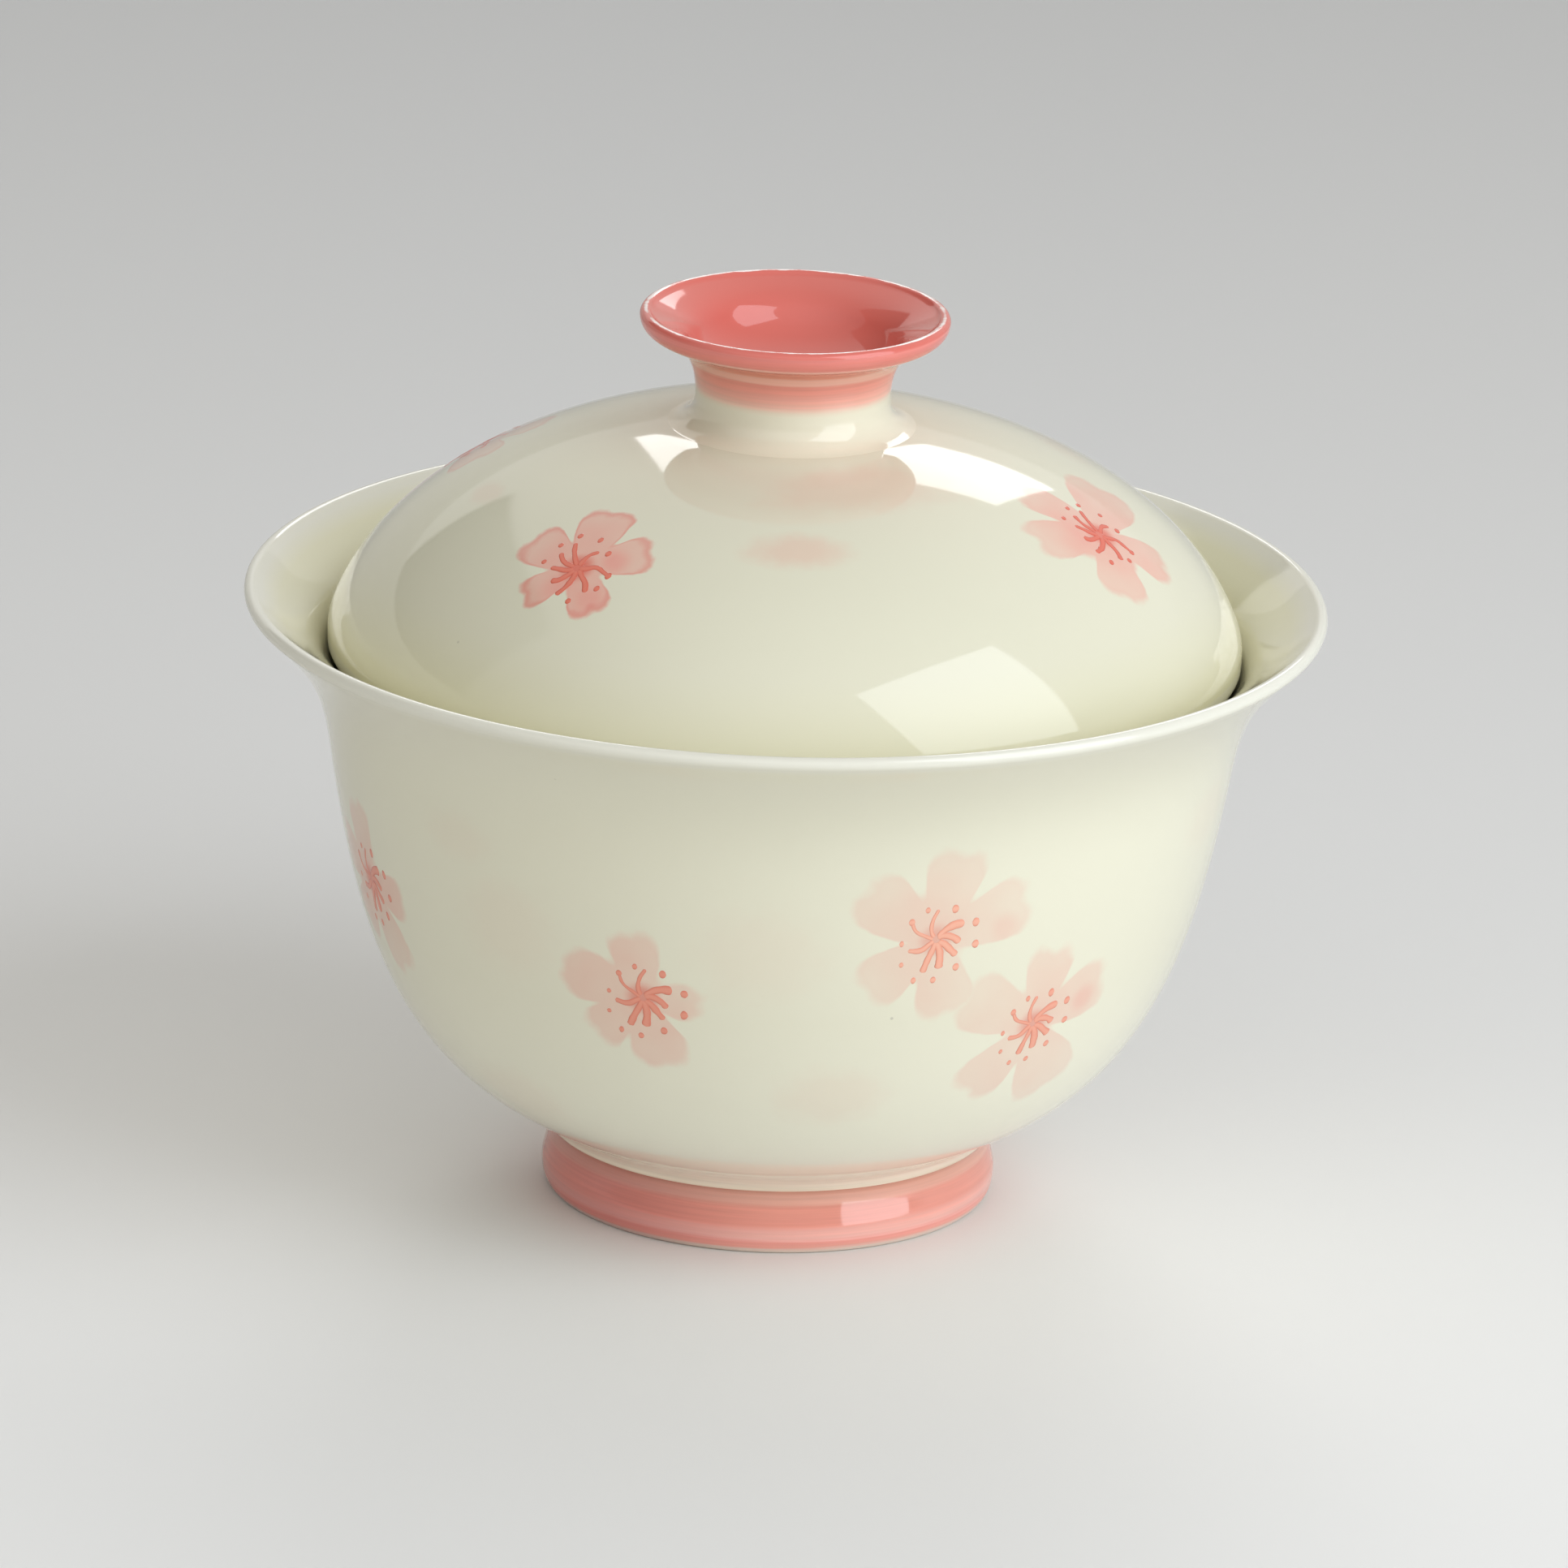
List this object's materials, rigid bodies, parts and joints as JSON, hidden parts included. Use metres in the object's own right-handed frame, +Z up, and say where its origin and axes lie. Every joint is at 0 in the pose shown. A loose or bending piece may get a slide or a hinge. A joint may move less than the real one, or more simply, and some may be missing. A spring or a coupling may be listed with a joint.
{
  "type": "lidded tea bowl",
  "caption": "Flared porcelain bowl on a foot ring, with a loose domed lid that lifts off by a hollow cup-shaped knob.",
  "frame": {"origin": "on the surface that the foot ring stands on, on the bowl's axis", "axes": "+Z up along the axis of the bowl and its lid; X and Y are level"},
  "size_m": [0.105, 0.105, 0.0887],
  "materials": {
    "ivory_glaze": "glossy clear glaze over ivory porcelain with underglaze painting",
    "rose_glaze": "glossy glaze over brushed rose underglaze colour"
  },
  "bodies": {
    "bowl": {"bowl_body": "ivory_glaze", "foot_ring": "rose_glaze"},
    "lid": {"lid_dome": "ivory_glaze", "lid_knob": "rose_glaze"}
  },
  "joints": [
    {"name": "lid_lift", "type": "slide", "parent": "bowl", "child": "lid", "axis": [0, 0, 1], "range_m": [0, 0.06]}
  ]
}
